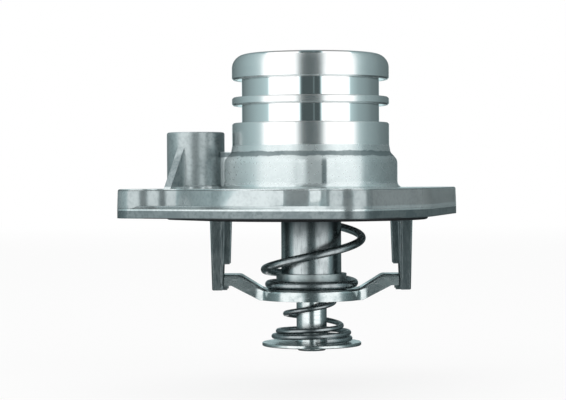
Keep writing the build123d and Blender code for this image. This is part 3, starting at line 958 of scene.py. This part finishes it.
@dataclass
class Coil:
    """A compression spring with closed end turns, wound as smooth wire.

    Heights and radii are pairs of a turn and a size. Sizes are in millimetres and the heading in degrees.
    """

    node: str
    joint: str
    body: str
    wire: float
    heading: float
    heights: tuple[Pair, ...]
    radii: tuple[Pair, ...]
    anchor: float
    keep: float
    steps: int = 96
    sides: int = 28
    window: float = 0.25
    samples: int = 9

    @staticmethod
    def between(stations: tuple[Pair, ...], turn: float) -> float:
        """Return the value at a turn.

        Args:
            stations: Pairs of a turn and a value, with straight runs between them.
            turn: Where to read.

        Returns:
            The value there.
        """
        for (start, low), (end, high) in zip(stations, stations[1:]):
            if turn <= end:
                return low + (high - low) * (turn - start) / (end - start)
        return stations[-1][1]

    def soft(self, stations: tuple[Pair, ...], turn: float) -> float:
        """Return the value at a turn, averaged over part of a turn so that the slope never jumps.

        Args:
            stations: Pairs of a turn and a value, with straight runs between them.
            turn: Where to read.

        Returns:
            The averaged value.
        """
        last = stations[-1][0]
        near = [turn + self.window * (step / (self.samples - 1) - 0.5) for step in range(self.samples)]
        return sum(self.between(stations, min(max(place, 0.0), last)) for place in near) / self.samples

    def path(self) -> bpy.types.Object:
        """Draw the wire's middle line.

        Returns:
            The line as a curve object.
        """
        turns = self.heights[-1][0]
        count = round(turns * self.steps)
        curve = bpy.data.curves.new(f"{self.node}_line", "CURVE")
        curve.dimensions = "3D"
        spline = curve.splines.new("POLY")
        spline.points.add(count)
        for index, point in enumerate(spline.points):
            turn = turns * index / count
            angle = math.radians(self.heading + 360 * turn)
            radius = self.soft(self.radii, turn)
            height = self.soft(self.heights, turn)
            place = Vector((radius * math.cos(angle), radius * math.sin(angle), height))
            point.co = (*(place * MM), 1.0)
        line = bpy.data.objects.new(f"{self.node}_line", curve)
        bpy.context.scene.collection.objects.link(line)
        return line

    def winder(self, material: bpy.types.Material) -> tuple[bpy.types.NodeTree, dict[str, float]]:
        """Build the Geometry Nodes tree that draws round wire along a line.

        Args:
            material: The wire's finish.

        Returns:
            The tree, and the sizes for its inputs Wire Radius and Sides by the inputs' identifiers.
        """
        tree = bpy.data.node_groups.new(f"{self.node}_winder", "GeometryNodeTree")
        face = tree.interface
        face.new_socket("Geometry", in_out="INPUT", socket_type="NodeSocketGeometry")
        wire = face.new_socket("Wire Radius", in_out="INPUT", socket_type="NodeSocketFloat")
        sides = face.new_socket("Sides", in_out="INPUT", socket_type="NodeSocketInt")
        face.new_socket("Geometry", in_out="OUTPUT", socket_type="NodeSocketGeometry")
        given = tree.nodes.new("NodeGroupInput")
        ring = tree.nodes.new("GeometryNodeCurvePrimitiveCircle")
        sweep = tree.nodes.new("GeometryNodeCurveToMesh")
        sweep.inputs["Fill Caps"].default_value = True
        smooth = tree.nodes.new("GeometryNodeSetShadeSmooth")
        real = tree.nodes.new("GeometryNodeRealizeInstances")
        paint = tree.nodes.new("GeometryNodeSetMaterial")
        paint.inputs["Material"].default_value = material
        made = tree.nodes.new("NodeGroupOutput")
        for start, end in (
            (given.outputs["Wire Radius"], ring.inputs["Radius"]),
            (given.outputs["Sides"], ring.inputs["Resolution"]),
            (given.outputs["Geometry"], sweep.inputs["Curve"]),
            (ring.outputs["Curve"], sweep.inputs["Profile Curve"]),
            (sweep.outputs["Mesh"], smooth.inputs["Geometry"]),
            (smooth.outputs["Geometry"], real.inputs["Geometry"]),
            (real.outputs["Geometry"], paint.inputs["Geometry"]),
            (paint.outputs["Geometry"], made.inputs["Geometry"]),
        ):
            tree.links.new(start, end)
        return tree, {wire.identifier: self.wire * MM, sides.identifier: self.sides}

    def build(self, material: bpy.types.Material) -> bpy.types.Object:
        """Wind the spring, hang it on its body and let it stand for its CAD node.

        Args:
            material: The wire's finish.

        Returns:
            The finished piece.
        """
        line = self.path()
        modifier = line.modifiers.new("winder", "NODES")
        modifier.node_group, sizes = self.winder(material)
        for identifier, value in sizes.items():
            modifier[identifier] = value
        bpy.context.view_layer.update()
        seen = line.evaluated_get(bpy.context.evaluated_depsgraph_get())
        mesh = bpy.data.meshes.new_from_object(seen)
        bpy.data.objects.remove(line)
        piece = bpy.data.objects.new(f"{self.node}_wire", mesh)
        bpy.context.scene.collection.objects.link(piece)
        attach(piece, self.body)
        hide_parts(self.node)
        self.anchor * MM
        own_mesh(piece)
        return piece


@dataclass(frozen=True)
class Lamp:
    """A soft lamp that faces the object: angles in degrees, sizes in metres and power in watts."""

    name: str
    heading: float
    elevation: float
    size: Pair
    power: float
    distance: float = 0.85

    def stand(self) -> None:
        """Stand the lamp in its place, where no reflection shows it."""
        light = bpy.data.lights.new(self.name, "AREA")
        light.shape = "RECTANGLE"
        light.size, light.size_y = self.size
        light.energy = self.power
        lamp = bpy.data.objects.new(self.name, light)
        turn, rise = math.radians(self.heading), math.radians(self.elevation)
        way = Vector((math.sin(turn) * math.cos(rise), -math.cos(turn) * math.cos(rise), math.sin(rise)))
        lamp.location = way * self.distance
        lamp.rotation_mode = "QUATERNION"
        lamp.rotation_quaternion = (-lamp.location).to_track_quat("-Z", "Y")
        lamp.visible_glossy = False
        lamp.visible_camera = False
        bpy.context.scene.collection.objects.link(lamp)


@dataclass
class Studio:
    """The pale floor, the light tent, the lamps and the camera.

    The cloth is a row of headings in degrees, 0 towards the camera, each with the strength of its light. The
    overhead cloth, the low band and the ground each have the slopes where they start and are full, and a
    strength of their own. The eye and the target are in millimetres.
    """

    floor_level: float = -39.6 * MM
    floor_size: float = 30.0
    floor_paint: Triple = (0.88, 0.88, 0.88)
    floor_glow: float = 0.82
    floor_fade: Pair = (0.15, 1.6)
    sky_strength: float = 0.45
    tent_radius: float = 0.9
    tent_segments: int = 96
    lift: float = 0.05 * MM
    panel: float = 1.35
    panel_edge: Pair = (0.7, 0.95)
    grey: Triple = (0.74, 0.97, 1.0)
    ceiling: float = 0.22
    overhead: Pair = (0.84, 0.92)
    shadow: float = 0.07
    ground: Pair = (-0.62, -0.82)
    low: Pair = (-0.015, -0.08)
    low_share: float = 0.4
    low_gap: Pair = (0.16, 0.2)
    cloth: tuple[Pair, ...] = (
        (-180.0, 0.85), (-167.0, 0.85), (-164.0, 0.16), (-150.0, 0.19), (-128.0, 0.31), (-108.0, 0.43),
        (-99.0, 0.49), (-90.0, 0.55), (-82.0, 0.62), (-75.0, 0.72), (-71.5, 1.35),
        (-18.5, 1.35), (-15.0, 0.16), (-12.0, 0.10), (4.2, 0.10), (4.8, 0.26), (6.0, 0.26), (6.6, 0.10),
        (13.0, 0.10), (15.5, 0.16), (19.0, 1.35), (66.5, 1.35), (70.0, 0.66), (77.0, 0.54), (85.0, 0.42),
        (93.0, 0.37), (102.0, 0.33), (112.0, 0.28), (123.0, 0.22), (164.0, 0.15), (167.0, 0.85),
        (180.0, 0.85),
    )
    lamps: tuple[Lamp, ...] = (
        Lamp("lamp_left", -47.0, 12.0, (0.9, 1.1), 4.4),
        Lamp("lamp_right", 43.0, 12.0, (0.9, 1.1), 4.1),
        Lamp("lamp_top", 180.0, 70.0, (1.2, 1.2), 4.2),
    )
    eye: Triple = (0.0, -430.0, 8.6)
    target: Triple = (-6.57, 0.0, 3.9)
    roll: float = -0.33
    lens: float = 116.5
    sensor: float = 36.0
    clip: Pair = (0.02, 60.0)

    def floor(self) -> None:
        """Lay the floor, which keeps the shadow and otherwise joins the white background."""
        bpy.ops.mesh.primitive_plane_add(size=self.floor_size, location=(0, 0, self.floor_level))
        floor = bpy.context.object
        floor.name = "floor"
        material, r = surface("floor_white")
        matt = r.node("ShaderNodeBsdfDiffuse", Color=self.floor_paint)
        glow = r.node("ShaderNodeEmission", Color=WHITE, Strength=1.0)
        length = r.node("ShaderNodeVectorMath", {"operation": "LENGTH"})
        r.tree.links.new(r.place().socket, length.inputs[0])
        far = r.out(length, "Value").step(*self.floor_fade)
        share = r.seen() * (far * (1.0 - self.floor_glow) + self.floor_glow)
        mixed = r.node("ShaderNodeMixShader", Fac=share)
        r.tree.links.new(matt.outputs[0], mixed.inputs[1])
        r.tree.links.new(glow.outputs[0], mixed.inputs[2])
        r.node("ShaderNodeOutputMaterial", Surface=r.out(mixed))
        floor.data.materials.append(material)

    def world(self) -> None:
        """Set a white world that lights the object at a plain level."""
        world = bpy.data.worlds.new("studio")
        bpy.context.scene.world = world
        world.use_nodes = True
        r = Recipe(world.node_tree)
        strength = r.seen() * (1.0 - self.sky_strength) + self.sky_strength
        sky = r.node("ShaderNodeBackground", Color=WHITE, Strength=strength)
        r.node("ShaderNodeOutputWorld", Surface=r.out(sky))

    def tent(self) -> None:
        """Hang the light tent, which only reflections see.

        It is grey cloth all round and below, with two lit panels beside the camera.
        """
        mesh = bpy.data.meshes.new("light_tent")
        shell = bmesh.new()
        around = self.tent_segments
        bmesh.ops.create_uvsphere(
            shell, u_segments=around, v_segments=around // 2, radius=self.tent_radius,
        )
        bmesh.ops.create_circle(
            shell, cap_ends=True, segments=around, radius=self.tent_radius,
            matrix=Matrix.Translation((0, 0, self.floor_level + self.lift)),
        )
        shell.to_mesh(mesh)
        shell.free()
        tent = bpy.data.objects.new("light_tent", mesh)
        bpy.context.scene.collection.objects.link(tent)
        material, r = surface("tent_cloth")
        way = r.node("ShaderNodeVectorMath", {"operation": "NORMALIZE"})
        r.tree.links.new(r.place().socket, way.inputs[0])
        split = r.node("ShaderNodeSeparateXYZ", Vector=r.out(way))
        across, deep, up = r.out(split, "X"), r.out(split, "Y"), r.out(split, "Z")
        behind = 1.0 - deep
        heading = across.math("ARCTAN2", behind) * (2.0 / math.tau) + 0.5
        tilt = up.math("DIVIDE", (behind * 2.0).math("SQRT"))
        stops = tuple((0.5 + degrees / 360.0, strength / self.panel) for degrees, strength in self.cloth)
        level = r.ramp(heading, stops)
        lit = level.step(*self.panel_edge)
        aside = (heading - 0.5).math("ABSOLUTE").step(*self.low_gap)
        low = (1.0 - lit) * up.step(*self.low) * aside
        level = level * (1.0 - low * (1.0 - self.low_share))
        ground = up.step(*self.ground)
        overhead = tilt.step(*self.overhead)
        shown = level * (1.0 - overhead) + overhead * self.ceiling
        shown = shown * (1.0 - ground) + ground * self.shadow
        colour = r.mix(lit, self.grey, WHITE)
        glow = r.node("ShaderNodeEmission", Color=colour, Strength=shown * self.panel)
        r.node("ShaderNodeOutputMaterial", Surface=r.out(glow))
        mesh.materials.append(material)
        tent.visible_camera = False
        tent.visible_diffuse = False
        tent.visible_shadow = False
        tent.visible_transmission = False

    def camera(self) -> None:
        """Stand the camera where the photograph was taken, nearly level with the flange."""
        data = bpy.data.cameras.new("camera")
        data.sensor_width = self.sensor
        data.lens = self.lens
        data.clip_start, data.clip_end = self.clip
        camera = bpy.data.objects.new("camera", data)
        place = Vector(self.eye) * MM
        aim = (Vector(self.target) * MM - place).to_track_quat("-Z", "Y")
        roll = Matrix.Rotation(math.radians(self.roll), 4, "Z").to_quaternion()
        camera.rotation_mode = "QUATERNION"
        camera.location = place
        camera.rotation_quaternion = aim @ roll
        bpy.context.scene.collection.objects.link(camera)
        bpy.context.scene.camera = camera

    def build(self) -> None:
        """Set up the whole studio."""
        self.floor()
        self.world()
        self.tent()
        for lamp in self.lamps:
            lamp.stand()
        self.camera()
        bpy.context.scene.view_settings.view_transform = "Standard"


@dataclass
class SubAssembly:
    """Pieces that belong together: solids that keep their shape, and springs that are wound anew."""

    worn: dict[str, Slot]

    def springs(self) -> tuple[Coil, ...]:
        """Return the springs that are wound anew."""
        return ()

    def dress(self, nodes: dict[str, bpy.types.Object], finishes: dict[Slot, bpy.types.Material]) -> None:
        """Give each solid its finish.

        Args:
            nodes: The frame's solids by name.
            finishes: The materials by slot.
        """
        for name, slot in self.worn.items():
            mesh = nodes[name].data
            mesh.materials.clear()
            mesh.materials.append(finishes[slot])
            LOG.info("%s wears %s", name, slot.value)

    def build(self, nodes: dict[str, bpy.types.Object], finishes: dict[Slot, bpy.types.Material]) -> None:
        """Dress the solids and wind the springs.

        Args:
            nodes: The frame's solids by name.
            finishes: The materials by slot.
        """
        self.dress(nodes, finishes)
        for coil in self.springs():
            piece = coil.build(finishes[Slot.SPRING_STEEL])
            LOG.info("%s has %d faces", piece.name, len(piece.data.polygons))


@dataclass
class Cover(SubAssembly):
    """The cast cover with its gasket and piston, and the bridge that carries the main spring."""

    worn: dict[str, Slot] = field(default_factory=lambda: {
        "housing": Slot.CAST_ALUMINIUM,
        "flange_gasket": Slot.GASKET_RUBBER,
        "piston": Slot.GROUND_STEEL,
        "bridge": Slot.STAMPED_STEEL,
        "main_spring": Slot.SPRING_STEEL,
    })
    seat: float = -16.8
    wire: float = 0.95
    turns: tuple[float, ...] = (0.58, 1.08, 1.58, 2.08, 2.55, 3.35)
    levels: tuple[float, ...] = (-15.8, -12.8, 2.6, 8.95)
    radii: Triple = (9.95, 11.9, 13.0)
    heading: float = 150.0
    keep: float = 0.7

    def springs(self) -> tuple[Coil, ...]:
        """Return the main spring, which stands on the bridge and opens upward as a cone.

        Returns:
            The spring.
        """
        closed, slack, wide, high, flat, end = self.turns
        foot, slack_level, high_level, head = self.levels
        foot_radius, wide_radius, head_radius = self.radii
        main = Coil(
            node="main_spring", joint="main_valve_lift", body="cover", wire=self.wire, heading=self.heading,
            heights=(
                (0.0, foot), (closed, foot), (slack, slack_level), (high, high_level), (flat, head),
                (end, head),
            ),
            radii=(
                (0.0, foot_radius), (closed, foot_radius), (wide, wide_radius), (flat, head_radius),
                (end, head_radius),
            ),
            anchor=self.seat, keep=self.keep,
        )
        return (main,)


@dataclass
class WaxElement(SubAssembly):
    """The wax element and the main valve's plate and seal, which slide on the piston as one."""

    worn: dict[str, Slot] = field(default_factory=lambda: {
        "element_cup": Slot.PLATED_BRASS,
        "element_guide": Slot.PLAIN_BRASS,
        "rubber_sleeve": Slot.SEAL_RUBBER,
        "seal_washer": Slot.WASHER_PLASTIC,
        "wax_charge": Slot.WAX,
        "valve_plate": Slot.STAMPED_STEEL,
        "valve_seal": Slot.SEAL_RUBBER,
    })


@dataclass
class BypassValve(SubAssembly):
    """The sprung disc on its stem below the element, kept by a snap ring."""

    worn: dict[str, Slot] = field(default_factory=lambda: {
        "bypass_stem": Slot.GROUND_STEEL,
        "bypass_spring": Slot.SPRING_STEEL,
        "bypass_disc": Slot.STAMPED_STEEL,
        "snap_ring": Slot.SPRING_STEEL,
    })
    cup_bottom: float = -18.5
    wire: float = 0.62
    turns: tuple[float, ...] = (0.35, 1.2, 1.7, 2.2, 3.3, 4.0)
    levels: tuple[float, ...] = (-28.58, -27.18, -26.88, -25.63, -19.17)
    radii: tuple[float, ...] = (8.95, 8.7, 6.9, 5.1)
    heading: float = -68.0
    keep: float = 0.55

    def springs(self) -> tuple[Coil, ...]:
        """Return the bypass spring, a cone with two close turns on the disc.

        Returns:
            The spring.
        """
        closed, second, low, middle, flat, end = self.turns
        foot, second_level, low_level, middle_level, head = self.levels
        foot_radius, second_radius, middle_radius, head_radius = self.radii
        bypass = Coil(
            node="bypass_spring", joint="bypass_lift", body="main_valve", wire=self.wire,
            heading=self.heading,
            heights=(
                (0.0, foot), (closed, foot), (second, second_level), (low, low_level),
                (middle, middle_level), (flat, head), (end, head),
            ),
            radii=(
                (0.0, foot_radius), (closed, foot_radius), (second, second_radius),
                (middle, middle_radius), (flat, head_radius), (end, head_radius),
            ),
            anchor=self.cup_bottom, keep=self.keep,
        )
        return (bypass,)


def main() -> None:
    """Dress the thermostat and set up the studio."""
    logging.basicConfig(level=logging.INFO, format="%(name)s: %(message)s")
    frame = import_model()
    finishes = {finish.slot: finish.make() for finish in FINISHES}
    for assembly in (Cover(), WaxElement(), BypassValve()):
        assembly.build(frame["nodes"], finishes)
    Studio().build()
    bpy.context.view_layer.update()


if __name__ == "__main__":
    main()
